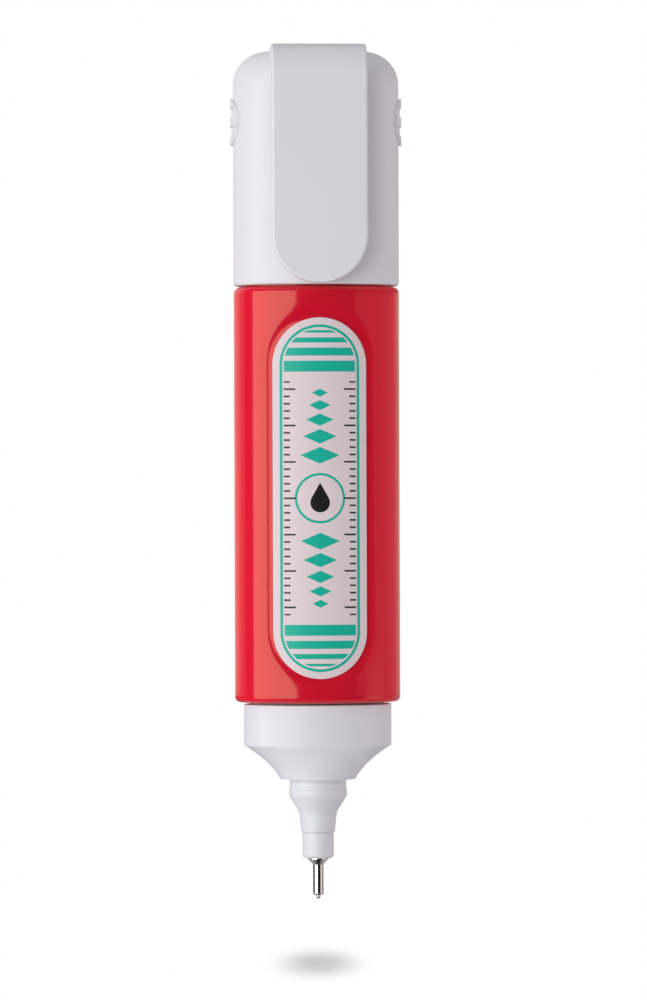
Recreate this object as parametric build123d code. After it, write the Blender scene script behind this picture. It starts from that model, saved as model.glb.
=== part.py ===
from build123d import *
import math
import os

# A correction pen, in millimetres and degrees. It stands on its needle point along +Z, tip down, with the
# label and the clip to the front (-Y) and the cap pushed on the rear end. Zero is the end of the needle.

# Oval section that the bottle and the cap share
BODY_WIDTH = 23.0
BODY_DEPTH = 16.0
FACE_HALF_ANGLE = 25.0

# Clearances, each on one side
CAP_FIT = 0.06
PLUG_FIT = 0.04
SEAT_FIT = 0.02
GUIDE_FIT = 0.05
LINER_FIT = 0.05
VALVE_FIT = 0.03
SPRING_END_GAP = 0.02
BALL_GAP = 0.1
OVERRUN = 1.0

# Bottle: squeezable tube, oval mouth in front, closed spigot behind for the posted cap
BOTTLE_LENGTH = 57.8
BOTTLE_WALL = 1.1
BOTTLE_EDGE_RADIUS = 0.75
MOUTH_INSET = 2.6
MOUTH_LIP = 4.0
SPIGOT_LENGTH = 10.0
SPIGOT_END_RADIUS = 1.6

# Label panel sunk in the front and back faces, and the label in the front one
LABEL_WIDTH = 12.9
LABEL_LENGTH = 49.7
LABEL_THICKNESS = 0.12
PANEL_MARGIN = 0.5
PANEL_DROP = 0.35
PANEL_DEPTH = 0.2
PANEL_EDGE_RADIUS = 0.09

# Nozzle collar: oval band, hollow flare to a round rim, and the plug that snaps behind the mouth's lip
COLLAR_GAP = 0.3
COLLAR_HEIGHT = 5.4
COLLAR_EDGE_RADIUS = 0.12
FLARE_HEIGHT = 4.7
FLARE_RIM_DIAMETER = 10.5
FLARE_HOLLOW_SHARE = 0.52
FLARE_SECTIONS = 5
PLUG_WALL = 1.2
BARB_HEIGHT = 1.2
BARB_REACH = 0.35
BARB_GAP = 0.05

# Tip holder: round neck with a sealing bead, tapered to a spout
NECK_DIAMETER = 7.85
NECK_LENGTH = 1.35
BEAD_DIAMETER = 8.06
BEAD_HEIGHT = 1.1
BEAD_EDGE = 0.2
TAPER_TOP_DIAMETER = 7.95
TAPER_LENGTH = 2.2
TAPER_BLEND_RADIUS = 2.6
SLEEVE_TOP_DIAMETER = 5.2
SLEEVE_FOOT_DIAMETER = 4.7
SLEEVE_LENGTH = 2.7
SPOUT_DIAMETER = 4.36
SPOUT_LENGTH = 3.7
SPOUT_END_RADIUS = 0.55
SHANK_DIAMETER = 7.2
SHANK_LENGTH = 5.85
CHAMBER_DIAMETER = 4.4
CHAMBER_STEP = 0.35

# Metal tip: turned tube, cone and shank with a valve seat in its end
TIP_TUBE_DIAMETER = 1.48
TIP_TUBE_LENGTH = 4.2
TIP_TUBE_END_RADIUS = 0.22
TIP_CONE_LENGTH = 0.75
TIP_RIM_DIAMETER = 2.85
TIP_RIM_LENGTH = 0.15
TIP_SHANK_DIAMETER = 2.1
TIP_SHANK_LENGTH = 7.4
TIP_HOLE_LENGTH = 0.35
TIP_SEAT_LENGTH = 0.35

# Needle valve: pin, plastic plunger with flow notches, spring and slotted stop
NEEDLE_POINT_DIAMETER = 0.62
NEEDLE_STEM_DIAMETER = 0.8
NEEDLE_BORE_GAP = 0.1
NEEDLE_STANDS_OUT = 0.55
NEEDLE_GRIP_LENGTH = 2.6
PLUNGER_LIFT = 0.45
PLUNGER_FLANGE_THICKNESS = 0.9
PLUNGER_BOSS_DIAMETER = 1.9
PLUNGER_BOSS_LENGTH = 3.2
FLOW_NOTCH_COUNT = 4
FLOW_NOTCH_DIAMETER = 1.0
SPRING_WIRE = 0.28
SPRING_MEAN_DIAMETER = 2.7
SPRING_TURNS = 7
STOP_THICKNESS = 1.8
STOP_HOLE_DIAMETER = 2.4
STOP_SLOT_WIDTH = 0.8
STOP_SLOT_DEPTH = 0.6

# Loose steel ball that stirs the fluid
BALL_DIAMETER = 6.0

# Cap: oval shell with a moulded clip, ribbed grip pads at both sides and a socket for the liner
CAP_GAP = 0.2
CAP_LENGTH = 32.5
CAP_WALL = 1.2
CAP_TOP_THICKNESS = 1.4
CAP_TOP_RADIUS = 4.6
CAP_RIM_RADIUS = 0.4
CLIP_WIDTH = 13.1
CLIP_THICKNESS = 1.8
CLIP_SLOT = 1.3
CLIP_SLOT_RADIUS = 0.6
CLIP_RISE = 0.6
CLIP_BEND_RADIUS = 4.4
CLIP_ROOT_DEPTH = 4.0
CLIP_ROOT_SLOPE = 1.6
CLIP_REACH = 0.05
CLIP_EDGE_RADIUS = 0.32
NUB_RADIUS = 2.4
NUB_HEIGHT = 0.6
NUB_RISE = 6.5
PAD_DIAMETER = 6.5
PAD_DROP = 9.75
PAD_HEIGHT = 0.2
RIB_HEIGHT = 0.2
RIB_WIDTH = 1.25
RIB_PITCH = 2.6
RIB_COUNT = 3
SOCKET_DEPTH = 4.0
SOCKET_WALL = 0.9

# Cap liner: soft sleeve that closes on the bead and the spout when the cap covers the nozzle
LINER_WALL = 0.9
LINER_LEAD = 0.5
LINER_SHOULDER = 1.0
LINER_TAPER_LEAD = 0.5
LINER_SPOUT_LEAD = 0.3
LINER_TIP_DIAMETER = 3.4
LINER_TIP_ROOM = 1.1

# Levels along the pen, from the needle's end up
tube_end = NEEDLE_STANDS_OUT
cone_low = tube_end + TIP_TUBE_LENGTH
rim_low = cone_low + TIP_CONE_LENGTH
spout_end = rim_low + TIP_RIM_LENGTH
sleeve_low = spout_end + SPOUT_LENGTH
taper_low = sleeve_low + SLEEVE_LENGTH
bead_low = taper_low + TAPER_LENGTH
bead_top = bead_low + BEAD_HEIGHT
flare_low = bead_top + NECK_LENGTH
collar_low = flare_low + FLARE_HEIGHT
collar_top = collar_low + COLLAR_HEIGHT
bottle_front = collar_top + COLLAR_GAP
lip_top = bottle_front + MOUTH_LIP
bottle_rear = bottle_front + BOTTLE_LENGTH
bottle_middle = (bottle_front + bottle_rear) / 2
spigot_end = bottle_rear + SPIGOT_LENGTH
cap_rim = bottle_rear + CAP_GAP
cap_top = cap_rim + CAP_LENGTH
cap_ceiling = cap_top - CAP_TOP_THICKNESS
holder_top = flare_low + SHANK_LENGTH
tip_shank_top = spout_end + TIP_SHANK_LENGTH
chamber_floor = tip_shank_top + CHAMBER_STEP
flange_low = chamber_floor + PLUNGER_LIFT
spring_low = flange_low + PLUNGER_FLANGE_THICKNESS
spring_top = holder_top - STOP_THICKNESS
barb_low = lip_top + BARB_GAP
plug_top = barb_low + BARB_HEIGHT

# Insets from the body's oval that several pieces share
collar_inset = CAP_WALL + CAP_FIT
plug_inset = MOUTH_INSET + PLUG_FIT
plug_hollow_inset = plug_inset + PLUG_WALL

# Outline of the label panel, wider all round than the label and a little below the bottle's middle
panel_width = LABEL_WIDTH + 2 * PANEL_MARGIN
panel_length = LABEL_LENGTH + 2 * PANEL_MARGIN
panel_middle = bottle_middle - PANEL_DROP

# Clip faces, measured from the pen's axis to the front
clip_inner = BODY_DEPTH / 2 + CLIP_SLOT
clip_outer = clip_inner + CLIP_THICKNESS
clip_low = cap_rim + CLIP_REACH
clip_top = cap_top + CLIP_RISE


def oval(half_width, half_depth):
    """Closed oval of four tangent arcs: two broad faces and two tight sides."""
    turn = math.radians(FACE_HALF_ANGLE)
    spread = (half_width - half_depth) / (math.sin(turn) + math.cos(turn) - 1)
    face_centre = spread * math.cos(turn)
    side_centre = spread * math.sin(turn)
    face_radius = half_depth + face_centre
    side_radius = half_width - side_centre
    face_turn = 2 * FACE_HALF_ANGLE
    side_turn = 180 - face_turn
    return make_face([
        CenterArc((side_centre, 0), side_radius, FACE_HALF_ANGLE - 90, side_turn),
        CenterArc((0, -face_centre), face_radius, 90 - FACE_HALF_ANGLE, face_turn),
        CenterArc((-side_centre, 0), side_radius, 90 + FACE_HALF_ANGLE, side_turn),
        CenterArc((0, face_centre), face_radius, 270 - FACE_HALF_ANGLE, face_turn),
    ])


def body_oval(inset):
    """The body's oval, drawn in by the same amount all round."""
    return oval(BODY_WIDTH / 2 - inset, BODY_DEPTH / 2 - inset)


def column(inset, low, high):
    """Straight oval column between two levels."""
    return Pos(0, 0, low) * extrude(body_oval(inset), high - low)


def round_column(diameter, low, high):
    """Straight round column on the pen's axis between two levels."""
    rise = Pos(0, 0, low)
    return rise * extrude(Circle(diameter / 2), high - low)


def turned(*edges):
    """Solid of revolution about the pen's axis from edges drawn as (radius, level)."""
    return revolve(Plane.XZ * make_face(edges), Axis.Z)


def ends(part, top=True, bottom=True):
    """Edges of a part's highest and lowest faces."""
    faces = part.faces().sort_by(Axis.Z)
    chosen = ShapeList()
    if bottom:
        chosen += faces[0].edges()
    if top:
        chosen += faces[-1].edges()
    return chosen


def front_obround(width, length):
    """Upright obround prism from the pen's axis out through the front face, at the panel's middle."""
    outline = Plane.XZ * Pos(0, panel_middle) * SlotOverall(length, width, rotation=90)
    return extrude(outline, BODY_DEPTH / 2 + OVERRUN)


def on_panel_outline(edge):
    """Whether an edge's middle lies on the front panel's outline, seen from the front."""
    place = edge @ 0.5
    past_straight = max(abs(place.Z - panel_middle) - (panel_length - panel_width) / 2, 0)
    return place.Y < 0 and math.isclose(math.hypot(place.X, past_straight), panel_width / 2, rel_tol=1e-4)


def panel_edges(part, core):
    """Edges along the panel's outline, in groups from its foot on the core out to its rim."""
    outline = part.edges().filter_by(on_panel_outline)
    return outline.group_by(lambda edge: core.distance_to(edge @ 0.5))


def panelled_stock():
    """Oval stock, longer than the bottle and the panel, with the rounded label panel in its front face."""
    low = min(bottle_front, panel_middle - panel_length / 2) - OVERRUN
    high = max(bottle_rear, panel_middle + panel_length / 2) + OVERRUN
    core = column(PANEL_DEPTH, low, high)
    stock = column(0, low, high) - (front_obround(panel_width, panel_length) - core)
    stock = fillet(panel_edges(stock, core)[0], PANEL_EDGE_RADIUS)
    return fillet(panel_edges(stock, core)[-1], PANEL_EDGE_RADIUS)


def bottle():
    """Hollow red bottle with label panels, a lipped mouth and a closed rear spigot."""
    outside = column(0, bottle_front, bottle_rear)
    outside = fillet(ends(outside), BOTTLE_EDGE_RADIUS)
    stock = panelled_stock()
    outside = outside & stock & mirror(stock, Plane.XZ)
    spigot = column(collar_inset, bottle_rear - BOTTLE_WALL, spigot_end)
    spigot = fillet(ends(spigot, bottom=False), SPIGOT_END_RADIUS)
    hollow = column(PANEL_DEPTH + BOTTLE_WALL, lip_top, bottle_rear - BOTTLE_WALL)
    spigot_hollow = column(collar_inset + BOTTLE_WALL, lip_top, spigot_end - BOTTLE_WALL)
    mouth = column(MOUTH_INSET, bottle_front - OVERRUN, lip_top + OVERRUN)
    return outside + spigot - hollow - spigot_hollow - mouth


def front_label():
    """Thin obround sticker on the panel's floor."""
    low = bottle_front
    high = bottle_rear
    sheet = column(PANEL_DEPTH - LABEL_THICKNESS, low, high) - column(PANEL_DEPTH, low, high)
    return sheet & front_obround(LABEL_WIDTH, LABEL_LENGTH)


def flare():
    """Hollow-sided flare that turns the collar's oval into a round rim."""
    rim = FLARE_RIM_DIAMETER / 2
    wider = BODY_WIDTH / 2 - collar_inset - rim
    deeper = BODY_DEPTH / 2 - collar_inset - rim
    sections = []
    for step in range(FLARE_SECTIONS):
        share = step / (FLARE_SECTIONS - 1)
        spread_share = share * (1 - FLARE_HOLLOW_SHARE) + FLARE_HOLLOW_SHARE * share**2
        section = oval(rim + wider * spread_share, rim + deeper * spread_share)
        sections.append(Pos(0, 0, flare_low + FLARE_HEIGHT * share) * section)
    return loft(sections)


def nozzle_collar():
    """Oval collar with its flare and the hollow plug that snaps into the bottle's mouth."""
    band = column(collar_inset, collar_low, collar_top)
    band = fillet(ends(band, bottom=False), COLLAR_EDGE_RADIUS)
    plug = column(plug_inset, collar_top - OVERRUN, plug_top)
    barb_foot = Pos(0, 0, barb_low) * body_oval(MOUTH_INSET - BARB_REACH)
    barb_tip = Pos(0, 0, plug_top) * body_oval(plug_inset)
    barb = loft([barb_foot, barb_tip], ruled=True)
    hollow = column(plug_hollow_inset, holder_top, plug_top + OVERRUN)
    bore = round_column(SHANK_DIAMETER + 2 * SEAT_FIT, flare_low - OVERRUN, holder_top + OVERRUN)
    return band + flare() + plug + barb - hollow - bore


def tip_holder():
    """Round nozzle: spout, tapered sleeve, sealing bead, neck, and the shank pressed into the collar."""
    spout = SPOUT_DIAMETER / 2
    sleeve_foot = SLEEVE_FOOT_DIAMETER / 2
    sleeve_head = SLEEVE_TOP_DIAMETER / 2
    taper_head = TAPER_TOP_DIAMETER / 2
    bead = BEAD_DIAMETER / 2
    neck = NECK_DIAMETER / 2
    shank = SHANK_DIAMETER / 2
    outside = turned(Polyline(
        (0, spout_end), (spout, spout_end), (spout, sleeve_low), (sleeve_foot, sleeve_low),
        (sleeve_head, taper_low), (taper_head, bead_low), (bead, bead_low + BEAD_EDGE),
        (bead, bead_top - BEAD_EDGE), (neck, bead_top), (neck, flare_low), (shank, flare_low),
        (shank, holder_top), (0, holder_top), close=True))
    outside = fillet(ends(outside, top=False), SPOUT_END_RADIUS)
    rings = outside.edges().filter_by(GeomType.CIRCLE)
    throat = min(rings, key=lambda ring: abs((ring @ 0).Z - taper_low))
    outside = fillet(throat, TAPER_BLEND_RADIUS)
    tip_bore = round_column(TIP_SHANK_DIAMETER + 2 * SEAT_FIT, spout_end - OVERRUN, chamber_floor + OVERRUN)
    chamber = round_column(CHAMBER_DIAMETER, chamber_floor, holder_top + OVERRUN)
    return outside - tip_bore - chamber


def tip_bore_radii():
    """Radius of the hole in the tip's end and of the bore behind its valve seat."""
    hole = NEEDLE_POINT_DIAMETER / 2 + GUIDE_FIT
    bore = NEEDLE_STEM_DIAMETER / 2 + NEEDLE_BORE_GAP
    return hole, bore


def metal_tip():
    """Turned tip: writing tube, cone, rim that seats on the spout, and a pressed shank."""
    tube = TIP_TUBE_DIAMETER / 2
    rim = TIP_RIM_DIAMETER / 2
    shank = TIP_SHANK_DIAMETER / 2
    outside = turned(Polyline(
        (0, tube_end), (tube, tube_end), (tube, cone_low), (rim, rim_low), (rim, spout_end),
        (shank, spout_end), (shank, tip_shank_top), (0, tip_shank_top), close=True))
    outside = fillet(ends(outside, top=False), TIP_TUBE_END_RADIUS)
    hole, bore = tip_bore_radii()
    seat_low = tube_end + TIP_HOLE_LENGTH
    seat_top = seat_low + TIP_SEAT_LENGTH
    inside = turned(Polyline(
        (0, tube_end - OVERRUN), (hole, tube_end - OVERRUN), (hole, seat_low), (bore, seat_top),
        (bore, tip_shank_top + OVERRUN), (0, tip_shank_top + OVERRUN), close=True))
    return outside - inside


def valve_needle():
    """Steel pin with a round point and a shoulder that closes on the tip's seat."""
    point = NEEDLE_POINT_DIAMETER / 2
    stem = NEEDLE_STEM_DIAMETER / 2
    hole, bore = tip_bore_radii()
    rise = TIP_SEAT_LENGTH / (bore - hole)
    seat_low = tube_end + TIP_HOLE_LENGTH
    shoulder_low = seat_low + (point + VALVE_FIT - hole) * rise
    shoulder_top = seat_low + (stem + VALVE_FIT - hole) * rise
    stem_top = flange_low + NEEDLE_GRIP_LENGTH
    nose = CenterArc((0, point), point, -90, 90)
    side = Polyline((point, point), (point, shoulder_low), (stem, shoulder_top), (stem, stem_top),
                    (0, stem_top), (0, 0))
    return turned(nose, side)


def needle_plunger():
    """Plastic plunger: notched guide flange, spring boss, and a blind bore pressed on the needle."""
    flange = round_column(CHAMBER_DIAMETER - 2 * GUIDE_FIT, flange_low, spring_low)
    notch = round_column(FLOW_NOTCH_DIAMETER, flange_low - OVERRUN, spring_low + OVERRUN)
    flange = flange - PolarLocations(CHAMBER_DIAMETER / 2, FLOW_NOTCH_COUNT) * notch
    boss = round_column(PLUNGER_BOSS_DIAMETER, flange_low, spring_low + PLUNGER_BOSS_LENGTH)
    bore = round_column(NEEDLE_STEM_DIAMETER + 2 * SEAT_FIT, flange_low - OVERRUN,
                        flange_low + NEEDLE_GRIP_LENGTH)
    return flange + boss - bore


def spring_point(turns):
    """Point and direction on the spring's helix after a number of turns."""
    radius = SPRING_MEAN_DIAMETER / 2
    low = spring_low + SPRING_END_GAP + SPRING_WIRE / 2
    high = spring_top - SPRING_END_GAP - SPRING_WIRE / 2
    pitch = (high - low) / SPRING_TURNS
    angle = 2 * math.pi * turns
    place = Vector(radius * math.cos(angle), radius * math.sin(angle), low + pitch * turns)
    around = 2 * math.pi * radius
    heading = Vector(-around * math.sin(angle), around * math.cos(angle), pitch)
    return place, heading.normalized()


def biarc(start, start_heading, end, end_heading):
    """Two tangent arcs that join two points and keep the heading at both."""
    step = end - start
    along = step.dot(start_heading + end_heading)
    bend = start_heading.dot(end_heading) - 1
    reach = (along - math.sqrt(along**2 - 2 * bend * step.dot(step))) / (2 * bend)
    first_corner = start + start_heading * reach
    last_corner = end - end_heading * reach
    middle = (first_corner + last_corner) * 0.5
    first = TangentArc(start, middle, tangent=start_heading)
    last = TangentArc(middle, end, tangent=last_corner - first_corner)
    return [first, last]


def valve_spring():
    """Open-wound wire spring between the plunger's flange and the stop."""
    quarters = 4 * SPRING_TURNS
    path = []
    for quarter in range(quarters):
        path += biarc(*spring_point(quarter / 4), *spring_point((quarter + 1) / 4))
    start, heading = spring_point(0)
    wire = Plane(start, z_dir=heading) * Circle(SPRING_WIRE / 2)
    print(f"valve_spring: least gap between turns {spring_gap():.2f} mm")
    return sweep(wire, Wire(Curve() + path))


def spring_gap():
    """Least clear distance between the spring's turns, measured on points along the wire."""
    per_turn = 24
    points = [spring_point(step / per_turn)[0] for step in range(SPRING_TURNS * per_turn + 1)]
    apart = per_turn // 2
    least = min((a - b).length for i, a in enumerate(points) for b in points[i + apart:])
    return least - SPRING_WIRE


def spring_stop():
    """Bush pressed into the holder behind the spring, slotted so that the ball can't close it."""
    diameter = CHAMBER_DIAMETER - 2 * SEAT_FIT
    bush = round_column(diameter, spring_top, holder_top)
    hole = round_column(STOP_HOLE_DIAMETER, spring_top - OVERRUN, holder_top + OVERRUN)
    slot = Pos(0, 0, holder_top) * Box(diameter + OVERRUN, STOP_SLOT_WIDTH, 2 * STOP_SLOT_DEPTH)
    return bush - hole - slot - Rot(0, 0, 90) * slot


def mixing_ball():
    """Steel ball at rest on the stop, loose in the bottle."""
    return Pos(0, 0, holder_top + BALL_GAP + BALL_DIAMETER / 2) * Sphere(BALL_DIAMETER / 2)


def clip():
    """Strap that rises from the cap's top, bends over the front and hangs down to a round end."""
    slot_end = cap_top - CAP_TOP_RADIUS
    side = make_face(Polyline(
        (-CLIP_ROOT_DEPTH + CLIP_ROOT_SLOPE, cap_top), (-CLIP_ROOT_DEPTH, clip_top),
        (-clip_outer, clip_top), (-clip_outer, clip_low), (-clip_inner, clip_low),
        (-clip_inner, slot_end), (0, slot_end), (0, cap_top), close=True))
    side = fillet(side.vertices().sort_by_distance((-clip_outer, clip_top))[0], CLIP_BEND_RADIUS)
    side = fillet(side.vertices().sort_by_distance((-clip_inner, slot_end))[0], CLIP_SLOT_RADIUS)
    strap = extrude(Plane.YZ * side, CLIP_WIDTH / 2, both=True)
    tall = clip_top - clip_low + CLIP_WIDTH
    outline = Plane.XZ * Pos(0, clip_low + tall / 2) * SlotOverall(tall, CLIP_WIDTH, rotation=90)
    strap = strap & extrude(outline, clip_outer + OVERRUN)
    front = strap.faces().sort_by(Axis.Y)[0]
    strap = fillet(front.edges().filter_by(Axis.X, reverse=True), CLIP_EDGE_RADIUS)
    return strap + clip_nub()


def clip_nub():
    """Low dome inside the clip's end that grips cloth."""
    ball = Pos(0, NUB_HEIGHT - clip_inner - NUB_RADIUS, clip_low + NUB_RISE) * Sphere(NUB_RADIUS)
    room = Box(2 * NUB_RADIUS, CLIP_THICKNESS, 2 * NUB_RADIUS)
    return ball & Pos(0, -clip_inner, clip_low + NUB_RISE) * room


def grip_pad():
    """Round pad on the cap's right side with level ribs, both as round as the side itself."""
    middle = cap_top - PAD_DROP
    low = middle - PAD_DIAMETER
    high = middle + PAD_DIAMETER
    disc = Plane.YZ * Pos(0, middle) * Circle(PAD_DIAMETER / 2)
    disc = extrude(disc, BODY_WIDTH)
    pad = column(-PAD_HEIGHT, low, high)
    half_rib = RIB_WIDTH / 2
    for index in range(RIB_COUNT):
        rib_middle = middle + (index - (RIB_COUNT - 1) / 2) * RIB_PITCH
        pad = pad + column(-PAD_HEIGHT - RIB_HEIGHT, rib_middle - half_rib, rib_middle + half_rib)
    return pad & disc


def cap():
    """Oval cap with clip and grip pads outside, and a socket for the liner under its top."""
    outside = column(0, cap_rim, cap_top)
    outside = fillet(ends(outside, bottom=False), CAP_TOP_RADIUS)
    outside = fillet(ends(outside, top=False), CAP_RIM_RADIUS)
    pad = grip_pad()
    outside = outside + pad + mirror(pad, Plane.YZ) + clip()
    hollow = column(CAP_WALL, cap_rim - OVERRUN, cap_ceiling)
    hollow = fillet(ends(hollow, bottom=False), CAP_TOP_RADIUS - CAP_WALL)
    stem = liner_stem_diameter() + 2 * SEAT_FIT
    socket_low = cap_ceiling - SOCKET_DEPTH
    socket = round_column(stem + 2 * SOCKET_WALL, socket_low, cap_top - CAP_TOP_THICKNESS / 2)
    socket = socket - round_column(stem, socket_low - OVERRUN, cap_ceiling)
    return outside - hollow + socket


def liner_stem_diameter():
    """Outside of the liner where it surrounds the sleeve and goes into the cap's socket."""
    return SLEEVE_TOP_DIAMETER + 2 * LINER_FIT + 2 * LINER_WALL


def capped(level):
    """Level in the posted cap that meets a nozzle level once the cap is turned over and put on the nozzle."""
    return cap_rim + bottle_front - CAP_GAP - level


def cap_liner():
    """Soft stepped sleeve, closed at the top, pressed into the cap's socket."""
    mouth = BEAD_DIAMETER / 2 + LINER_FIT
    sleeve = SLEEVE_TOP_DIAMETER / 2 + LINER_FIT
    spout = SPOUT_DIAMETER / 2 + LINER_FIT
    tip = LINER_TIP_DIAMETER / 2
    low = capped(bead_top) - LINER_LEAD
    shoulder_low = capped(bead_low) + LINER_SHOULDER
    shoulder_top = capped(taper_low) + LINER_TAPER_LEAD
    step = capped(sleeve_low) + LINER_SPOUT_LEAD
    tip_low = capped(spout_end) + LINER_SPOUT_LEAD
    tip_top = capped(0) + LINER_TIP_ROOM
    return turned(Polyline(
        (mouth, low), (mouth, shoulder_low), (sleeve, shoulder_top), (sleeve, step), (spout, step),
        (spout, tip_low), (tip, tip_low), (tip, tip_top), (0, tip_top), (0, cap_ceiling),
        (sleeve + LINER_WALL, cap_ceiling), (sleeve + LINER_WALL, shoulder_top),
        (mouth + LINER_WALL, shoulder_low), (mouth + LINER_WALL, low), close=True))


PIECES = [
    bottle,
    front_label,
    nozzle_collar,
    tip_holder,
    metal_tip,
    valve_needle,
    needle_plunger,
    valve_spring,
    spring_stop,
    mixing_ball,
    cap,
    cap_liner,
]

os.makedirs("parts", exist_ok=True)
for piece in PIECES:
    export_step(piece(), f"parts/{piece.__name__}.step")
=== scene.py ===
import math

import bpy
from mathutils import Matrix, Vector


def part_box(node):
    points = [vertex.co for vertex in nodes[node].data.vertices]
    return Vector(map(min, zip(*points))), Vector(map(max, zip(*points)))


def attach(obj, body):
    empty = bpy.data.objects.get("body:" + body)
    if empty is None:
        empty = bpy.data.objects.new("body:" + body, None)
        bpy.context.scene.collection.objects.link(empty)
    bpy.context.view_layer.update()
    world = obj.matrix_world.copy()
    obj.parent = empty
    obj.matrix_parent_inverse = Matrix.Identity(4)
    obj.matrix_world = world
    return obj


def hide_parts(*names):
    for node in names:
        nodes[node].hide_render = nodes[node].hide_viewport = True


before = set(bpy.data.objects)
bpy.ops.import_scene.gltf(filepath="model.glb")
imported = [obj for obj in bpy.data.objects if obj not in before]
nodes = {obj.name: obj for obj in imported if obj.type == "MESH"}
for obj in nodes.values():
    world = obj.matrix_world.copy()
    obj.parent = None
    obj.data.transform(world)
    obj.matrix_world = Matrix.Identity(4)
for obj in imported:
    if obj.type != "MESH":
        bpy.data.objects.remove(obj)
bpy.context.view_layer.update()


# Camera: a long lens on a level tripod, a little to the left of the pen's front and level with the middle of
# the picture. The pen stands slightly left of the picture's middle, and the camera leans by a hair.
MM = 0.001
VIEW_DISTANCE = 680 * MM
VIEW_HEIGHT = 55.4 * MM
VIEW_TURN = math.radians(-3.2)
VIEW_LEAN = math.radians(0.2)
PICTURE_HEIGHT = 139 * MM
PEN_LEFT_OF_MIDDLE = 0.9 * MM
LENS_SIDE = 36.0
LENS_NEAR = 10 * MM

bpy.ops.object.select_all(action="DESELECT")
bpy.ops.object.camera_add(rotation=(math.pi / 2, VIEW_LEAN, VIEW_TURN))
camera = bpy.context.object
camera.location = (
    PEN_LEFT_OF_MIDDLE * math.cos(VIEW_TURN) + VIEW_DISTANCE * math.sin(VIEW_TURN),
    PEN_LEFT_OF_MIDDLE * math.sin(VIEW_TURN) - VIEW_DISTANCE * math.cos(VIEW_TURN),
    VIEW_HEIGHT,
)
camera.data.sensor_width = LENS_SIDE
camera.data.lens = LENS_SIDE * VIEW_DISTANCE / PICTURE_HEIGHT
camera.data.clip_start = LENS_NEAR
bpy.context.scene.camera = camera
bpy.context.scene.view_settings.view_transform = "Standard"


# Bottle: a squeezable tube of glossy red plastic, blown in a mould to an oval of four arcs, with a spigot for
# the cap. Shallow panels with soft shoulders lie in front and behind, a little higher than the label, which
# has a seat in the front one. The mouth is a little higher than the solid's, and the collar's seam with it.
bottle_low, bottle_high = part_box("bottle")
BODY_HALF_WIDTH = bottle_high[0]
BODY_HALF_DEPTH = bottle_high[1]
FACE_HALF_ANGLE = math.radians(25)
FACE_STEPS = 110
SIDE_STEPS = 72
SPIGOT_LENGTH = 10 * MM
SPIGOT_INSET = 1.26 * MM
SPIGOT_END_RADIUS = 1.6 * MM
BOTTLE_EDGE_RADIUS = 0.75 * MM
MOUTH_INSET = 2.6 * MM
MOUTH_LIP = 4 * MM
HOLLOW_INSET = 1.3 * MM
BOTTLE_WALL = 1.1 * MM
PANEL_RISE = 0.36 * MM
PANEL_DEPTH = 0.3 * MM
PANEL_STEEPEST = 0.76 * MM
PANEL_REACH = 2.6 * MM
PANEL_FOOT = 0.9
PANEL_BROW = 2.3
SEAT_DEPTH = 0.2 * MM
SEAT_INSET = 0.5 * MM
SEAM_LIFT = 0.3 * MM
RING_STEP = 0.14 * MM
MIDDLE_RINGS = 12
MERGE_REACH = 0.001 * MM
END_FACING = 0.9
RIM_SLACK = 0.01 * MM
RIM_SHARE = 0.985
EDGE_SEGMENTS = 6
BOTTLE_SHARP_ANGLE = math.radians(35)
label_low, label_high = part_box("front_label")
LABEL_HALF_WIDTH = label_high[0]
LABEL_HALF_LENGTH = (label_high[2] - label_low[2]) / 2
LABEL_MIDDLE = (label_high[2] + label_low[2]) / 2
straight_half = LABEL_HALF_LENGTH - LABEL_HALF_WIDTH
panel_middle = LABEL_MIDDLE + PANEL_RISE
bottle_front = bottle_low[2] + SEAM_LIFT
bottle_rear = bottle_high[2] - SPIGOT_LENGTH


def select_in_mesh(kind, wanted):
    """In edit mode, select only the vertices, edges or faces that a test picks."""
    bpy.ops.mesh.select_mode(type=kind)
    bpy.ops.mesh.select_all(action="DESELECT")
    bpy.ops.object.mode_set(mode="OBJECT")
    mesh = bpy.context.object.data
    parts = {"VERT": mesh.vertices, "EDGE": mesh.edges, "FACE": mesh.polygons}[kind]
    for part in parts:
        part.select = wanted(part)
    bpy.ops.object.mode_set(mode="EDIT")


def grow(rise):
    """In edit mode, extrude what is selected straight up or down."""
    bpy.ops.mesh.extrude_region_move(TRANSFORM_OT_translate={"value": (0, 0, rise)})


def edge_ends(edge):
    """Both ends of an edge of the piece in work."""
    mesh = bpy.context.object.data
    return [mesh.vertices[index].co for index in edge.vertices]


def past_outline(place, middle):
    """How far a point lies outside the label's outline, moved to a middle level; negative is inside."""
    past_straight = max(abs(place[2] - middle) - straight_half, 0)
    return math.hypot(place[0], past_straight) - LABEL_HALF_WIDTH


def panel_share(place):
    """Share of the panel's depth at a point: flat floor, slope with a soft brow, and seat for the label."""
    # The slope steepens by one power from its foot and eases off by another to its brow.
    foot_part = PANEL_STEEPEST / (PANEL_FOOT + 1)
    brow_part = (PANEL_REACH - PANEL_STEEPEST) / (PANEL_BROW + 1)
    out = min(max(past_outline(place, panel_middle), 0), PANEL_REACH)
    if out < PANEL_STEEPEST:
        climb = foot_part * (out / PANEL_STEEPEST) ** (PANEL_FOOT + 1)
    else:
        left = (PANEL_REACH - out) / (PANEL_REACH - PANEL_STEEPEST)
        climb = foot_part + brow_part * (1 - left ** (PANEL_BROW + 1))
    sunk = 1 - climb / (foot_part + brow_part)
    if place[1] < 0:
        seat = min(max(-past_outline(place, LABEL_MIDDLE) / SEAT_INSET, 0), 1)
        sunk -= seat * (1 - SEAT_DEPTH / PANEL_DEPTH)
    return sunk


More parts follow.
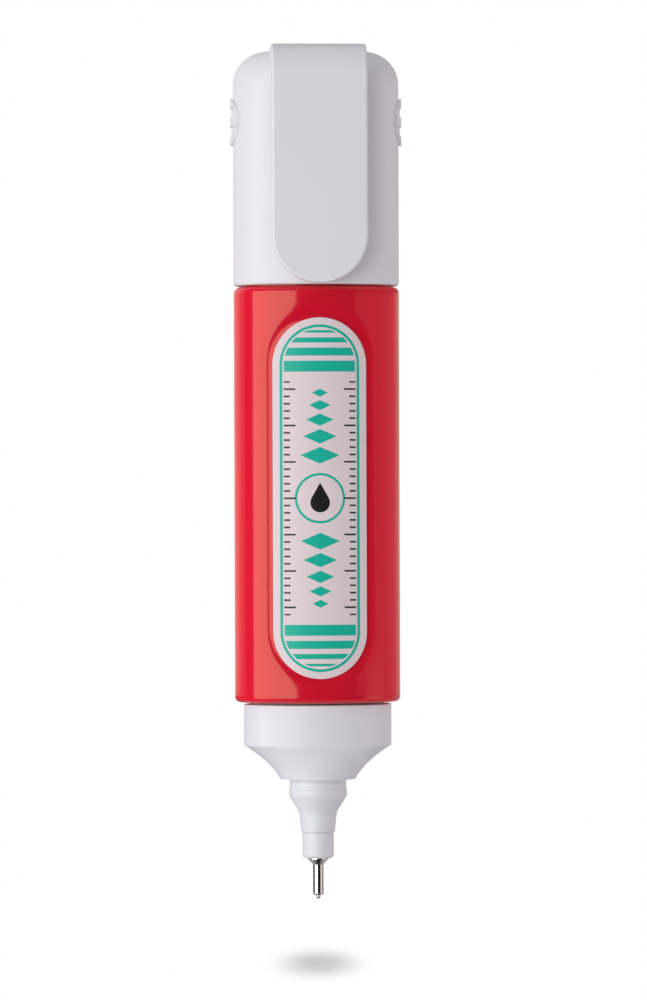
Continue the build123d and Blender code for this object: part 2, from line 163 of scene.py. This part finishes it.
turn = FACE_HALF_ANGLE
spread = (BODY_HALF_WIDTH - BODY_HALF_DEPTH) / (math.sin(turn) + math.cos(turn) - 1)
face_centre = spread * math.cos(turn)
side_centre = spread * math.sin(turn)
side_radius = BODY_HALF_WIDTH - side_centre
side_turn = math.pi - 2 * turn
bpy.ops.object.select_all(action="DESELECT")
bpy.ops.mesh.primitive_circle_add(vertices=3, radius=MM)
bottle = bpy.context.object
bottle.name = "squeeze_bottle"
# One corner of the small circle is kept and swept along the four arcs.
bpy.ops.object.mode_set(mode="EDIT")
select_in_mesh("VERT", lambda vertex: vertex.index > 0)
bpy.ops.mesh.delete(type="VERT")
bpy.ops.object.mode_set(mode="OBJECT")
start = (side_centre + side_radius * math.sin(turn), -side_radius * math.cos(turn), bottle_front)
bottle.data.vertices[0].co = start
bottle.data.vertices[0].select = True
bpy.ops.object.mode_set(mode="EDIT")
for centre, arc, steps in (
    ((side_centre, 0, 0), side_turn, SIDE_STEPS),
    ((0, -face_centre, 0), 2 * turn, FACE_STEPS),
    ((-side_centre, 0, 0), side_turn, SIDE_STEPS),
    ((0, face_centre, 0), 2 * turn, FACE_STEPS),
):
    bpy.ops.mesh.spin(steps=steps, angle=-arc, center=centre, axis=(0, 0, 1))
bpy.ops.mesh.select_all(action="SELECT")
bpy.ops.mesh.remove_doubles(threshold=MERGE_REACH)
bpy.ops.mesh.edge_face_add()
end_zone = LABEL_HALF_WIDTH + PANEL_REACH + RING_STEP
end_rings = round(end_zone / RING_STEP)
grow(panel_middle - straight_half - end_zone - bottle_front)
for ring in range(end_rings):
    grow(end_zone / end_rings)
for ring in range(MIDDLE_RINGS):
    grow(2 * straight_half / MIDDLE_RINGS)
for ring in range(end_rings):
    grow(end_zone / end_rings)
grow(bottle_rear - panel_middle - straight_half - end_zone)
bpy.ops.mesh.select_all(action="SELECT")
bpy.ops.mesh.normals_make_consistent(inside=False)
bpy.ops.object.mode_set(mode="OBJECT")
panel = bottle.vertex_groups.new(name="label panel")
for vertex in bottle.data.vertices:
    panel.add([vertex.index], panel_share(vertex.co), "REPLACE")
sink = bottle.modifiers.new("sink", "DISPLACE")
sink.vertex_group = panel.name
sink.mid_level = 0
sink.strength = -PANEL_DEPTH
bpy.ops.object.modifier_apply(modifier=sink.name)
bottle.vertex_groups.clear()

# The spigot grows from the rear, and the mouth and the hollow are drawn in from the front.
bpy.ops.object.mode_set(mode="EDIT")
select_in_mesh("FACE", lambda face: face.normal.z > END_FACING)
bpy.ops.mesh.inset(thickness=SPIGOT_INSET)
grow(SPIGOT_LENGTH)
select_in_mesh("FACE", lambda face: face.normal.z < -END_FACING)
bpy.ops.mesh.inset(thickness=MOUTH_INSET)
grow(MOUTH_LIP)
mouth_half_width = BODY_HALF_WIDTH - MOUTH_INSET
mouth_half_depth = BODY_HALF_DEPTH - MOUTH_INSET
hollow_wider = (BODY_HALF_WIDTH - HOLLOW_INSET) / mouth_half_width
hollow_deeper = (BODY_HALF_DEPTH - HOLLOW_INSET) / mouth_half_depth
grow(0)
bpy.ops.transform.resize(value=(hollow_wider, hollow_deeper, 1))
grow(bottle_rear - BOTTLE_WALL - bottle_front - MOUTH_LIP)
spigot_hollow_inset = SPIGOT_INSET + BOTTLE_WALL
narrower = (BODY_HALF_WIDTH - spigot_hollow_inset) / (BODY_HALF_WIDTH - HOLLOW_INSET)
shallower = (BODY_HALF_DEPTH - spigot_hollow_inset) / (BODY_HALF_DEPTH - HOLLOW_INSET)
grow(0)
bpy.ops.transform.resize(value=(narrower, shallower, 1))
grow(SPIGOT_LENGTH)


def smooth_skin(piece, sharp_angle):
    """Shade a finished piece smooth between its sharp edges, led by its larger faces."""
    bpy.ops.object.shade_smooth_by_angle(angle=sharp_angle)
    even = piece.modifiers.new("even", "WEIGHTED_NORMAL")
    even.keep_sharp = True
    bpy.ops.object.modifier_apply(modifier=even.name)


def outer_rim(edge, level, inset):
    """Whether an edge lies on the oval rim at a level, at an inset from the body's skin."""
    half = BODY_HALF_WIDTH - inset
    depth = BODY_HALF_DEPTH - inset
    for end in edge_ends(edge):
        far = max(abs(end.x) / half, abs(end.y) / depth, math.hypot(end.x / half, end.y / depth))
        if abs(end.z - level) > RIM_SLACK or far < RIM_SHARE:
            return False
    return True


for level, inset, radius in (
    (bottle_front, 0, BOTTLE_EDGE_RADIUS),
    (bottle_rear, 0, BOTTLE_EDGE_RADIUS),
    (bottle_high[2], SPIGOT_INSET, SPIGOT_END_RADIUS),
):
    select_in_mesh("EDGE", lambda edge: outer_rim(edge, level, inset))
    bpy.ops.mesh.bevel(offset=radius, segments=EDGE_SEGMENTS, affect="EDGES")
bpy.ops.object.mode_set(mode="OBJECT")
smooth_skin(bottle, BOTTLE_SHARP_ANGLE)


class Shade:
    """A value in a material. Arithmetic on it adds Math nodes, and node() adds any other kind."""

    def __init__(self, tree, socket=None):
        self.tree = tree
        self.socket = socket

    def node(self, kind, settings, inputs, output=0):
        """Add a node: its settings first, then the values or links of its sockets."""
        made = self.tree.nodes.new(kind)
        for name, value in settings.items():
            setattr(made, name, value)
        for name, value in inputs.items():
            if isinstance(value, Shade):
                self.tree.links.new(value.socket, made.inputs[name])
            else:
                made.inputs[name].default_value = value
        return Shade(self.tree, made.outputs[output] if made.outputs else None)

    def maths(self, operation, *values):
        """Add a Math node on one, two or three values."""
        return self.node("ShaderNodeMath", {"operation": operation}, dict(enumerate(values)))

    def __add__(self, other):
        return self.maths("ADD", self, other)

    def __radd__(self, other):
        return self.maths("ADD", other, self)

    def __sub__(self, other):
        return self.maths("SUBTRACT", self, other)

    def __rsub__(self, other):
        return self.maths("SUBTRACT", other, self)

    def __mul__(self, other):
        return self.maths("MULTIPLY", self, other)

    def __rmul__(self, other):
        return self.maths("MULTIPLY", other, self)

    def __truediv__(self, other):
        return self.maths("DIVIDE", self, other)

    def __abs__(self):
        return self.maths("ABSOLUTE", self)

    def colour(self, low, high):
        """Colour between two, with this value as the share of the second."""
        settings = {"data_type": "RGBA"}
        return self.node("ShaderNodeMix", settings, {0: self, 6: low, 7: high}, 2)


def new_material(name):
    """Empty material, as the start of its node tree."""
    material = bpy.data.materials.new(name)
    material.use_nodes = True
    material.node_tree.nodes.clear()
    return material, Shade(material.node_tree)


def object_place(shade):
    """Place on the piece, in metres."""
    return shade.node("ShaderNodeTexCoord", {}, {}, "Object")


def along_axis(place, axis):
    """One of the three numbers of a place."""
    return place.node("ShaderNodeSeparateXYZ", {}, {0: place}, axis)


def mottle(place, size, detail=2.0):
    """Soft random patches of about a given size."""
    return place.node("ShaderNodeTexNoise", {}, {"Vector": place, "Scale": 1 / size, "Detail": detail})


def relief(height, rise):
    """Surface relief: a height and its rise in metres."""
    return height.node("ShaderNodeBump", {}, {"Height": height, "Strength": 1.0, "Distance": rise}, "Normal")


def surface(shade, **inputs):
    """Principled surface on the material's output; underscores stand for spaces."""
    named = {name.replace("_", " "): value for name, value in inputs.items()}
    skin = shade.node("ShaderNodeBsdfPrincipled", {}, named)
    shade.node("ShaderNodeOutputMaterial", {}, {"Surface": skin})


# Painted light: the red grows lighter from the front towards both sides, standing in for light carried
# through the translucent plastic to the flanks.
RED_FACE = (0.66, 0.0055, 0.029, 1)
RED_SIDE_LIT = (0.88, 0.0085, 0.036, 1)
RED_FACE_REACH = 5.0 * MM
SIDE_LIGHT_SHARE = 0.85
FLOW_SHARE = 0.15
FLOW_SIZE = 14 * MM
PEEL_SIZE = 1.6 * MM
PEEL_RISE = 0.004 * MM
PEEL_ROUGH = 0.05
RED_ROUGH = 0.10
RED_SPECULAR = 0.65
WARM_GLOSS = (1.0, 0.78, 0.55, 1)
red_plastic, shade = new_material("glossy red plastic")
place = object_place(shade)
flow = mottle(place, FLOW_SIZE)
peel = mottle(place, PEEL_SIZE)
aside = abs(along_axis(place, "X"))
painted_side_light = shade.node("ShaderNodeMapRange", {}, {0: aside, 1: RED_FACE_REACH, 2: BODY_HALF_WIDTH})
surface(
    shade,
    Base_Color=(SIDE_LIGHT_SHARE * painted_side_light + FLOW_SHARE * flow).colour(RED_FACE, RED_SIDE_LIT),
    Roughness=RED_ROUGH + PEEL_ROUGH * peel,
    Specular_IOR_Level=RED_SPECULAR,
    Specular_Tint=WARM_GLOSS,
    Normal=relief(peel, PEEL_RISE),
)
bottle.data.materials.append(red_plastic)
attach(bottle, "pen")
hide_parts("bottle")


# Front label: an obround of off-white plastic film, stuck on the floor of the panel. Its plain print is a
# border, level stripes, marks like those of a scale, shrinking lozenges and a drop in a ring, laid out in
# millimetres from the label's middle. A lozenge is given by its middle, half height and half width.
FILM = (0.83, 0.71, 0.745, 1)
FILM_DULL = (0.79, 0.67, 0.705, 1)
TEAL = (0.001, 0.48, 0.355, 1)
INK = (0.012, 0.012, 0.014, 1)
PRINT_EDGE = 0.04
BORDER_INSET = 1.15
BORDER_HALF_LINE = 0.19
STRIPES = ((17.4, 18.9), (19.6, 20.7), (21.4, 22.1), (22.75, 23.1))
MARK_OUTER = 4.95
MARK_LENGTH = 0.85
LONG_MARK_LENGTH = 1.6
MARK_PITCH = 1.0
LONG_MARK_PITCH = 5.0
MARK_HALF_LINE = 0.12
MARKS_END = 16.1
RING_RADIUS = 3.3
RING_HALF_LINE = 0.17
DROP_RADIUS = 1.35
DROP_MIDDLE = -0.6
DROP_TIP = 2.15
DROP_OVERLAP = 0.5
LOZENGES = ((5.9, 1.15, 2.7), (8.5, 1.0, 2.3), (10.8, 0.85, 1.9), (12.8, 0.7, 1.5), (14.5, 0.55, 1.1))
FIBRE_SIZE = 0.35 * MM
FIBRE_DETAIL = 4.0
FIBRE_ROUGH = 0.06
FILM_ROUGH = 0.42
FILM_SPECULAR = 0.35
INK_SMOOTHER = 0.08
PRINT_RISE = 0.002 * MM

label_film, shade = new_material("printed film")
place = object_place(shade)
aside = abs(along_axis(place, "X") / MM)
along = (along_axis(place, "Z") - LABEL_MIDDLE) / MM
away = abs(along)


def length_of(one, other):
    """Length of a flat step with two legs."""
    return one.maths("SQRT", one * one + other * other)


def both(*masks):
    """Where all masks are."""
    result = masks[0]
    for mask in masks[1:]:
        result = result.maths("MINIMUM", result, mask)
    return result


def either(*masks):
    """Where any mask is."""
    result = masks[0]
    for mask in masks[1:]:
        result = result.maths("MAXIMUM", result, mask)
    return result


def within(distance):
    """Mask of what lies inside an outline, with the soft edge of print."""
    return distance.node("ShaderNodeClamp", {}, {0: 0.5 - distance / PRINT_EDGE})


def mark_row(pitch, length):
    """Level marks at an even pitch along both sides, like those of a scale."""
    from_mark = abs(away.maths("FRACT", away / pitch + 0.5) - 0.5) * pitch
    on_mark = within(from_mark - MARK_HALF_LINE)
    return both(on_mark, within(abs(aside - (MARK_OUTER - length / 2)) - length / 2))


end_reach = away.maths("MAXIMUM", away - straight_half / MM, 0.0)
past_edge = length_of(aside, end_reach) - LABEL_HALF_WIDTH / MM
inside_border = within(past_edge + (BORDER_INSET + 2 * BORDER_HALF_LINE))
border = within(abs(past_edge + BORDER_INSET) - BORDER_HALF_LINE)
stripes = [within(abs(away - (low + high) / 2) - (high - low) / 2) for low, high in STRIPES]
stripe_field = both(either(*stripes), inside_border)
lozenges = [
    within((aside / wide + abs(away - middle) / tall - 1) * tall)
    for middle, tall, wide in LOZENGES
]
ring = within(abs(length_of(aside, away) - RING_RADIUS) - RING_HALF_LINE)
teal_print = either(border, stripe_field, ring, *lozenges)
marks = either(mark_row(MARK_PITCH, MARK_LENGTH), mark_row(LONG_MARK_PITCH, LONG_MARK_LENGTH))
marks = both(marks, within(away - MARKS_END))
drop_lean = DROP_RADIUS / math.sqrt((DROP_TIP - DROP_MIDDLE) ** 2 - DROP_RADIUS**2)
drop_round = within(length_of(aside, along - DROP_MIDDLE) - DROP_RADIUS)
drop_point = both(
    within(aside - (DROP_TIP - along) * drop_lean),
    within(DROP_MIDDLE + DROP_OVERLAP - along),
)
black_print = either(marks, drop_round, drop_point)
fibre = mottle(place, FIBRE_SIZE, FIBRE_DETAIL)
plain_film = fibre.colour(FILM_DULL, FILM)
printed = black_print.colour(teal_print.colour(plain_film, TEAL), INK)
ink = either(teal_print, black_print)
surface(
    shade,
    Base_Color=printed,
    Roughness=FILM_ROUGH - INK_SMOOTHER * ink + FIBRE_ROUGH * fibre,
    Specular_IOR_Level=FILM_SPECULAR,
    Normal=relief(fibre + ink, PRINT_RISE),
)
nodes["front_label"].material_slots[0].material = label_film


# Nozzle collar and tip holder: mouldings of satin white plastic. The collar snaps into the bottle's mouth and
# flares in to a round rim; the holder is pressed into it and carries the metal tip. The collar is a copy of
# its solid with the top edge raised to the mouth. Painted shade lies in that seam, nearly black, and at the
# step of the sleeve, grey.
WHITE = (0.81, 0.81, 0.872, 1)
WHITE_DULL = (0.785, 0.783, 0.846, 1)
# Colours of painted shade: grey for a crease, near black for the collar's seam.
CREASE_SHADE = (0.60, 0.60, 0.63, 1)
SEAM_SHADE = (0.02, 0.015, 0.015, 1)
CREASE_REACH = 0.16 * MM
WHITE_ROUGH = 0.34
WHITE_FLOW_SIZE = 9 * MM
GRAIN_SIZE = 0.16 * MM
GRAIN_DETAIL = 3.0
GRAIN_RISE = 0.0035 * MM
GRAIN_ROUGH = 0.10
COLLAR_GAP = 0.3 * MM
COLLAR_EDGE = 0.15 * MM
COLLAR_SHARP_ANGLE = math.radians(33)
SLEEVE_LENGTH = 3.65 * MM
collar_top = bottle_low[2] - COLLAR_GAP
sleeve_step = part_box("tip_holder")[0][2] + SLEEVE_LENGTH


def near_line(distance):
    """Mask that is full on a line and fades out at both sides of it."""
    return distance.node("ShaderNodeClamp", {}, {0: 1 - abs(distance) / CREASE_REACH})


def shade_line_at_level(level):
    """Painted shade in a line round a piece at a level, as a function of the place on it."""
    return lambda place: near_line(along_axis(place, "Z") - level)


def satin_plastic(name, pale, dull, rough, painted_shade=None, painted_shade_colour=CREASE_SHADE):
    """Moulded satin plastic with the fine grain of a spark-eroded mould, and painted shade where a mask puts
    it.
    """
    material, shade = new_material(name)
    place = object_place(shade)
    grain = mottle(place, GRAIN_SIZE, GRAIN_DETAIL)
    colour = mottle(place, WHITE_FLOW_SIZE).colour(dull, pale)
    # Painted shade is mixed into the colour where its mask lies.
    if painted_shade is not None:
        colour = painted_shade(place).colour(colour, painted_shade_colour)
    surface(
        shade,
        Base_Color=colour,
        Roughness=rough + GRAIN_ROUGH * grain,
        Normal=relief(grain, GRAIN_RISE),
    )
    return material


collar = bpy.data.objects.new("flared_collar", nodes["nozzle_collar"].data.copy())
bpy.context.collection.objects.link(collar)
bpy.ops.object.select_all(action="DESELECT")
collar.select_set(True)
bpy.context.view_layer.objects.active = collar
bpy.ops.object.mode_set(mode="EDIT")
bpy.ops.mesh.select_all(action="SELECT")
bpy.ops.mesh.remove_doubles(threshold=MERGE_REACH)
select_in_mesh("VERT", lambda vertex: abs(vertex.co.z - collar_top) < COLLAR_EDGE)
bpy.ops.transform.translate(value=(0, 0, SEAM_LIFT))
bpy.ops.object.mode_set(mode="OBJECT")
bpy.ops.mesh.customdata_custom_splitnormals_clear()
smooth_skin(collar, COLLAR_SHARP_ANGLE)
# Painted shade: a near-black line round the collar just above its top edge, in the seam below the bottle.
collar_seam_shade = shade_line_at_level(collar_top + SEAM_LIFT + CREASE_REACH)
collar_plastic = satin_plastic("collar plastic", WHITE, WHITE_DULL, WHITE_ROUGH, collar_seam_shade, SEAM_SHADE)
collar.data.materials.clear()
collar.data.materials.append(collar_plastic)
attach(collar, "pen")
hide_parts("nozzle_collar")
# Painted shade: a grey line round the holder at the step of its sleeve.
sleeve_crease_shade = shade_line_at_level(sleeve_step)
holder_plastic = satin_plastic("holder plastic", WHITE, WHITE_DULL, WHITE_ROUGH, sleeve_crease_shade)
nodes["tip_holder"].material_slots[0].material = holder_plastic


# Metal tip and needle: the tip is turned from bright stainless rod and pressed into the holder; the needle is
# a ground steel pin that slides in it. Fine rings from turning and grinding run round both.
STEEL_BRIGHT = (0.80, 0.78, 0.75, 1)
STEEL_DULL = (0.66, 0.65, 0.63, 1)
STAIN_SIZE = 1.2 * MM
BRIGHT_ROUGH = 0.07
LATHE_PITCH = 0.05 * MM
LATHE_RISE = 0.0001 * MM
LATHE_ROUGH = 0.08


def turned_steel(name, rough):
    """Bright steel with turning rings."""
    material, shade = new_material(name)
    place = object_place(shade)
    in_line = {"noise_dimensions": "1D"}
    pitch = {"W": along_axis(place, "Z"), "Scale": 1 / LATHE_PITCH}
    rings = shade.node("ShaderNodeTexNoise", in_line, pitch)
    surface(
        shade,
        Base_Color=mottle(place, STAIN_SIZE).colour(STEEL_DULL, STEEL_BRIGHT),
        Metallic=1.0,
        Roughness=rough + LATHE_ROUGH * rings,
        Normal=relief(rings, LATHE_RISE),
    )
    return material


bright_steel = turned_steel("turned steel", BRIGHT_ROUGH)
for name in ("metal_tip", "valve_needle"):
    nodes[name].material_slots[0].material = bright_steel


# Pieces hidden inside: the valve's plunger and stop and the cap's liner are moulded in natural plastic, the
# spring is wound from drawn wire, and the loose ball is polished steel. They show when the pen is opened up.
NATURAL = (0.74, 0.75, 0.73, 1)
NATURAL_DULL = (0.66, 0.67, 0.65, 1)
NATURAL_ROUGH = 0.40
WIRE_ROUGH = 0.24
BALL_ROUGH = 0.08
natural_plastic = satin_plastic("natural plastic", NATURAL, NATURAL_DULL, NATURAL_ROUGH)
for name in ("needle_plunger", "spring_stop", "cap_liner"):
    nodes[name].material_slots[0].material = natural_plastic
nodes["valve_spring"].material_slots[0].material = turned_steel("drawn wire", WIRE_ROUGH)
nodes["mixing_ball"].material_slots[0].material = turned_steel("polished ball", BALL_ROUGH)


# Cap: a white satin moulding with a clip over its front and ribbed grip pads at both sides, pushed on the
# bottle's spigot. Painted shade darkens the foot of the pads and of their ribs.
CAP_WHITE = (0.825, 0.822, 0.866, 1)
CAP_DULL = (0.80, 0.796, 0.84, 1)
# Colour of the painted shade at the foot of the pads and of their ribs.
PAD_SHADE = (0.71, 0.71, 0.743, 1)
PAD_BELOW_TOP = 10.35 * MM
PAD_RADIUS = 3.25 * MM
GROOVE_START = 0.625 * MM
GROOVE_END = 1.975 * MM
CAP_SIDE = 10.5 * MM
CAP_ROUGH = 0.40
pad_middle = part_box("cap")[1][2] - PAD_BELOW_TOP
rib_feet = (GROOVE_START + CREASE_REACH, GROOVE_END - CREASE_REACH)


def pad_crease_shade(place):
    """Painted shade at the foot of the grip pads and of their ribs, only on the outside of the cap's sides.
    """
    rise = along_axis(place, "Z") - pad_middle
    out = length_of(along_axis(place, "Y"), rise)
    on_pad = out.maths("LESS_THAN", out, PAD_RADIUS)
    painted_shade = near_line(out - PAD_RADIUS - CREASE_REACH)
    for foot in rib_feet:
        painted_shade = either(painted_shade, on_pad * near_line(abs(rise) - foot))
    aside = abs(along_axis(place, "X"))
    return painted_shade * aside.maths("GREATER_THAN", aside, CAP_SIDE)


cap_plastic = satin_plastic("cap plastic", CAP_WHITE, CAP_DULL, CAP_ROUGH, pad_crease_shade, PAD_SHADE)
nodes["cap"].material_slots[0].material = cap_plastic


# Studio: a pale floor below the floating pen, a white surround, a soft box at the left, a soft light overhead
# and a fill light at the right. The gloss and the metal mirror three rings of wall, dark in front to keep the
# red deep, and a small card under the tip. Sizes without a unit are in metres.
FLOOR_LEVEL = -9 * MM
FLOOR_SIZE = 0.11
FLOOR_PALE = (0.85, 0.85, 0.85, 1)
SHADOW_HALF_WIDTH = 8.7 * MM
SHADOW_HALF_DEPTH = 32 * MM
SHADOW_SHARE = 0.75
WALL_RADIUS = 1.3
WALL_STEPS = 180
SKIRTING_FOOT = -1.5
WALL_FOOT = -0.03
WALL_TOP = 0.19
ROOM_TOP = 1.5
DIM = (0.05, 0.05, 0.05)
BLACK = (0.005, 0.005, 0.005)
WALL_STRETCHES = (
    (-180, -128, (0.75, 0.56, 0.44)),
    (-128, -36, (1.0, 0.33, 0.51)),
    (-36, 106, DIM),
    (106, 125, (0.60, 0.40, 0.36)),
    (125, 180, (0.90, 0.66, 0.58)),
)
UPPER_STRETCHES = (
    (-180, -36, (0.25, 0.24, 0.25)),
    (-36, 106, DIM),
    (106, 125, (0.60, 0.58, 0.60)),
    (125, 180, (0.90, 0.88, 0.92)),
)
SKIRTING_STRETCHES = (
    (-180, -112, (0.45, 0.42, 0.42)),
    (-112, -80, (0.35, 0.31, 0.32)),
    (-80, -46, (1.0, 0.92, 0.94)),
    (-46, 20, BLACK),
    (20, 104, DIM),
    (104, 180, (0.15, 0.15, 0.15)),
)
CARD_SIZE = 36 * MM
CARD_RISE = 0.5 * MM
CARD_DARK_REACH = 1.5 * MM
CARD_PALE_REACH = 11 * MM
CARD_DARK = 0.02
CARD_PALE = 0.5
BOX_DISTANCE = 0.45
BOX_INNER = math.radians(18.5)
BOX_OUTER = math.radians(79)
BOX_HEIGHT = 0.34
BOX_RADIANCE = 2.6
PLAIN = (1.0, 1.0, 1.0)
TOP_SIZE = (0.20, 0.26)
TOP_HEIGHT = 0.45
TOP_RADIANCE = 0.12
FILL_BEARING = math.radians(-103)
FILL_RISE = math.radians(3)
FILL_DISTANCE = 0.5
FILL_SIZE = (0.35, 0.25)
FILL_RADIANCE = 2.08
FILL_TINT = (1.0, 0.90, 0.905)
AMBIENT = 0.435
WHITE_LIGHT = (1, 1, 1, 1)


def flat_sheet(name, size, level):
    """Level square sheet below the pen's tip."""
    bpy.ops.object.select_all(action="DESELECT")
    bpy.ops.mesh.primitive_plane_add(size=size)
    sheet = bpy.context.object
    sheet.name = name
    bpy.ops.transform.translate(value=(0, 0, level))
    bpy.ops.object.transform_apply(location=True)
    return sheet


floor = flat_sheet("floor", FLOOR_SIZE, FLOOR_LEVEL)
pale_floor, shade = new_material("pale floor")
upright = {"rotation_type": "Z_AXIS"}
view_turned = {"Vector": object_place(shade), "Angle": -VIEW_TURN}
turned_place = shade.node("ShaderNodeVectorRotate", upright, view_turned)
# Painted shadow: camera rays see the floor only inside a soft ellipse turned along the line of sight, fading
# into the white world. Its grey is mostly the floor's own shading, with the pen's real shadow in it.
across = along_axis(turned_place, "X") / SHADOW_HALF_WIDTH
deep = along_axis(turned_place, "Y") / SHADOW_HALF_DEPTH
out = length_of(across, deep)
easing = {"interpolation_type": "SMOOTHERSTEP"}
painted_shadow = shade.node("ShaderNodeMapRange", easing, {0: out, 1: 0.0, 2: 1.0, 3: SHADOW_SHARE, 4: 0.0})
seen = shade.node("ShaderNodeLightPath", {}, {}, "Is Camera Ray")
cover = 1 - seen * (1 - painted_shadow)
matt = shade.node("ShaderNodeBsdfDiffuse", {}, {"Color": FLOOR_PALE})
clear = shade.node("ShaderNodeBsdfTransparent", {}, {})
laid = shade.node("ShaderNodeMixShader", {}, {0: cover, 1: clear, 2: matt})
shade.node("ShaderNodeOutputMaterial", {}, {"Surface": laid})
floor.data.materials.append(pale_floor)


def glow(name, colour):
    """Plain wall that gives off a little light, the same all over."""
    material, shade = new_material(name)
    light = shade.node("ShaderNodeEmission", {}, {"Color": (*colour, 1)})
    shade.node("ShaderNodeOutputMaterial", {}, {"Surface": light})
    return material


def bearing(face):
    """Direction of a wall's face from the pen: 0 to the front, positive to the left."""
    return math.atan2(-face.center.x, -face.center.y)


def only_mirrored(piece):
    """Let a piece of the studio show in reflections alone."""
    piece.visible_camera = False
    piece.visible_diffuse = False


def wall_ring(name, low, high, stretches):
    """Ring of wall that only reflections show; a stretch is two bearings in degrees and a colour."""
    bpy.ops.object.select_all(action="DESELECT")
    bpy.ops.mesh.primitive_cylinder_add(
        vertices=WALL_STEPS,
        radius=WALL_RADIUS,
        depth=high - low,
        location=(0, 0, (low + high) / 2),
        end_fill_type="NOTHING",
    )
    ring = bpy.context.object
    ring.name = name
    bpy.ops.object.transform_apply(location=True)
    shown = []
    for index, (start, end, colour) in enumerate(stretches):
        ring.data.materials.append(glow(f"{name} {index + 1}", colour))
        for face in ring.data.polygons:
            if math.radians(start) <= bearing(face) < math.radians(end):
                face.material_index = index
                shown.append(face.index)
    bpy.ops.object.mode_set(mode="EDIT")
    select_in_mesh("FACE", lambda face: face.index not in shown)
    bpy.ops.mesh.delete(type="FACE")
    bpy.ops.object.mode_set(mode="OBJECT")
    only_mirrored(ring)
    return ring


walls = wall_ring("walls", WALL_FOOT, WALL_TOP, WALL_STRETCHES)
upper_walls = wall_ring("upper walls", WALL_TOP, ROOM_TOP, UPPER_STRETCHES)
skirting = wall_ring("skirting", SKIRTING_FOOT, WALL_FOOT, SKIRTING_STRETCHES)

# The card glows, faint along its middle and brighter to its sides; it is put there only for the metal tip to
# mirror, as a dark stripe between pale ones.
card = flat_sheet("card", CARD_SIZE, FLOOR_LEVEL + CARD_RISE)
card_glow, shade = new_material("dark card with pale sides")
aside = abs(along_axis(object_place(shade), "X"))
reach = {0: aside, 1: CARD_DARK_REACH, 2: CARD_PALE_REACH, 3: CARD_DARK, 4: CARD_PALE}
paleness = shade.node("ShaderNodeMapRange", {}, reach)
light = shade.node("ShaderNodeEmission", {}, {"Color": paleness})
shade.node("ShaderNodeOutputMaterial", {}, {"Surface": light})
card.data.materials.append(card_glow)
only_mirrored(card)
card.visible_shadow = False


def soft_light(name, place, rotation, size, radiance, tint):
    """Rectangular soft light of a given radiance."""
    bpy.ops.object.select_all(action="DESELECT")
    bpy.ops.object.light_add(type="AREA", location=place, rotation=rotation)
    light = bpy.context.object
    light.name = name
    light.data.shape = "RECTANGLE"
    light.data.size, light.data.size_y = size
    light.data.energy = radiance * math.pi * size[0] * size[1]
    light.data.color = tint
    light.visible_camera = False
    return light


box_bearing = (BOX_INNER + BOX_OUTER) / 2
box_width = 2 * BOX_DISTANCE * math.tan((BOX_OUTER - BOX_INNER) / 2)
box_place = (-BOX_DISTANCE * math.sin(box_bearing), -BOX_DISTANCE * math.cos(box_bearing), VIEW_HEIGHT)
box_turn = (math.pi / 2, 0, -box_bearing)
soft_light("soft_box", box_place, box_turn, (box_width, BOX_HEIGHT), BOX_RADIANCE, PLAIN)
soft_light("overhead", (0, 0, TOP_HEIGHT), (0, 0, 0), TOP_SIZE, TOP_RADIANCE, PLAIN)
fill_reach = FILL_DISTANCE * math.cos(FILL_RISE)
fill_place = (
    -fill_reach * math.sin(FILL_BEARING),
    -fill_reach * math.cos(FILL_BEARING),
    VIEW_HEIGHT + FILL_DISTANCE * math.sin(FILL_RISE),
)
fill_turn = (math.pi / 2 - FILL_RISE, 0, -FILL_BEARING)
fill_light = soft_light("fill", fill_place, fill_turn, FILL_SIZE, FILL_RADIANCE, FILL_TINT)
fill_light.visible_glossy = False

world = bpy.data.worlds.new("studio")
bpy.context.scene.world = world
world.use_nodes = True
world.node_tree.nodes.clear()
shade = Shade(world.node_tree)
seen = shade.node("ShaderNodeLightPath", {}, {}, "Is Camera Ray")
glossy = shade.node("ShaderNodeLightPath", {}, {}, "Is Glossy Ray")
through = shade.node("ShaderNodeLightPath", {}, {}, "Is Transmission Ray")
shown = either(seen, glossy, through)
ambient = shade.node("ShaderNodeBackground", {}, {"Color": WHITE_LIGHT, "Strength": AMBIENT})
white = shade.node("ShaderNodeBackground", {}, {"Color": WHITE_LIGHT, "Strength": 1.0})
around = shade.node("ShaderNodeMixShader", {}, {0: shown, 1: ambient, 2: white})
shade.node("ShaderNodeOutputWorld", {}, {"Surface": around})
